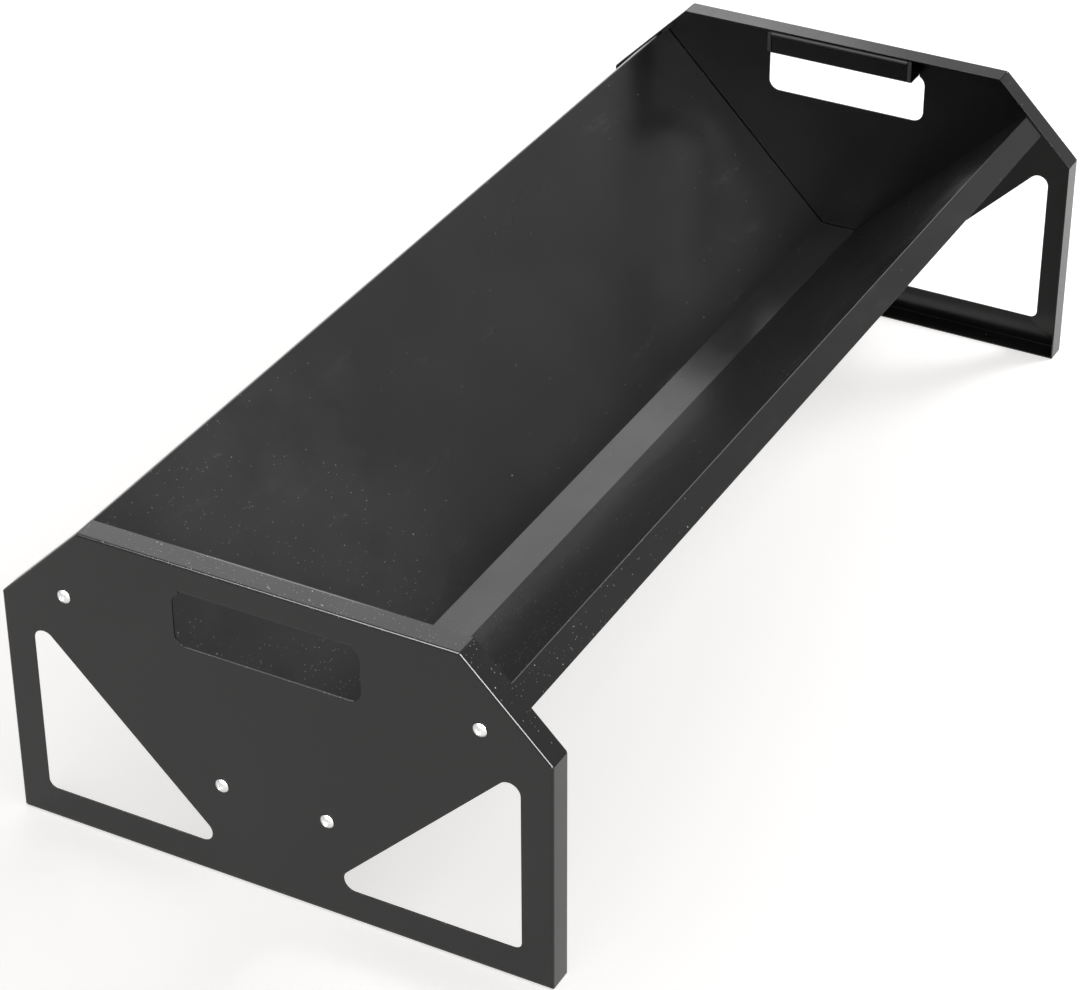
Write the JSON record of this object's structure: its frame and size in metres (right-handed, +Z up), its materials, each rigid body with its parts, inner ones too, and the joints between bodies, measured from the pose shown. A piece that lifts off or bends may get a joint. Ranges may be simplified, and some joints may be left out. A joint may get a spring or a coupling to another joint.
{
  "type": "hay rack feeder",
  "caption": "Floor-standing V-shaped sheet steel feed trough between two folded end panels with handle slots and triangular cut-outs.",
  "frame": {"origin": "on the floor, under the middle of the feeder", "axes": "+X along the trough, +Y across it, +Z up"},
  "size_m": [1.207, 0.54, 0.32],
  "materials": {
    "black_paint": "semi-gloss black powder coat on steel sheet",
    "bright_zinc": "bright zinc-plated steel fasteners"
  },
  "bodies": {
    "root": {"end_panel_left": "black_paint", "end_panel_right": "black_paint", "trough": "black_paint", "screw_left_1": "bright_zinc", "screw_left_2": "bright_zinc", "screw_left_3": "bright_zinc", "screw_left_4": "bright_zinc", "screw_right_1": "bright_zinc", "screw_right_2": "bright_zinc", "screw_right_3": "bright_zinc", "screw_right_4": "bright_zinc", "washer_left_1": "bright_zinc", "washer_left_2": "bright_zinc", "washer_left_3": "bright_zinc", "washer_left_4": "bright_zinc", "washer_right_1": "bright_zinc", "washer_right_2": "bright_zinc", "washer_right_3": "bright_zinc", "washer_right_4": "bright_zinc", "nut_left_1": "bright_zinc", "nut_left_2": "bright_zinc", "nut_left_3": "bright_zinc", "nut_left_4": "bright_zinc", "nut_right_1": "bright_zinc", "nut_right_2": "bright_zinc", "nut_right_3": "bright_zinc", "nut_right_4": "bright_zinc"}
  },
  "joints": []
}
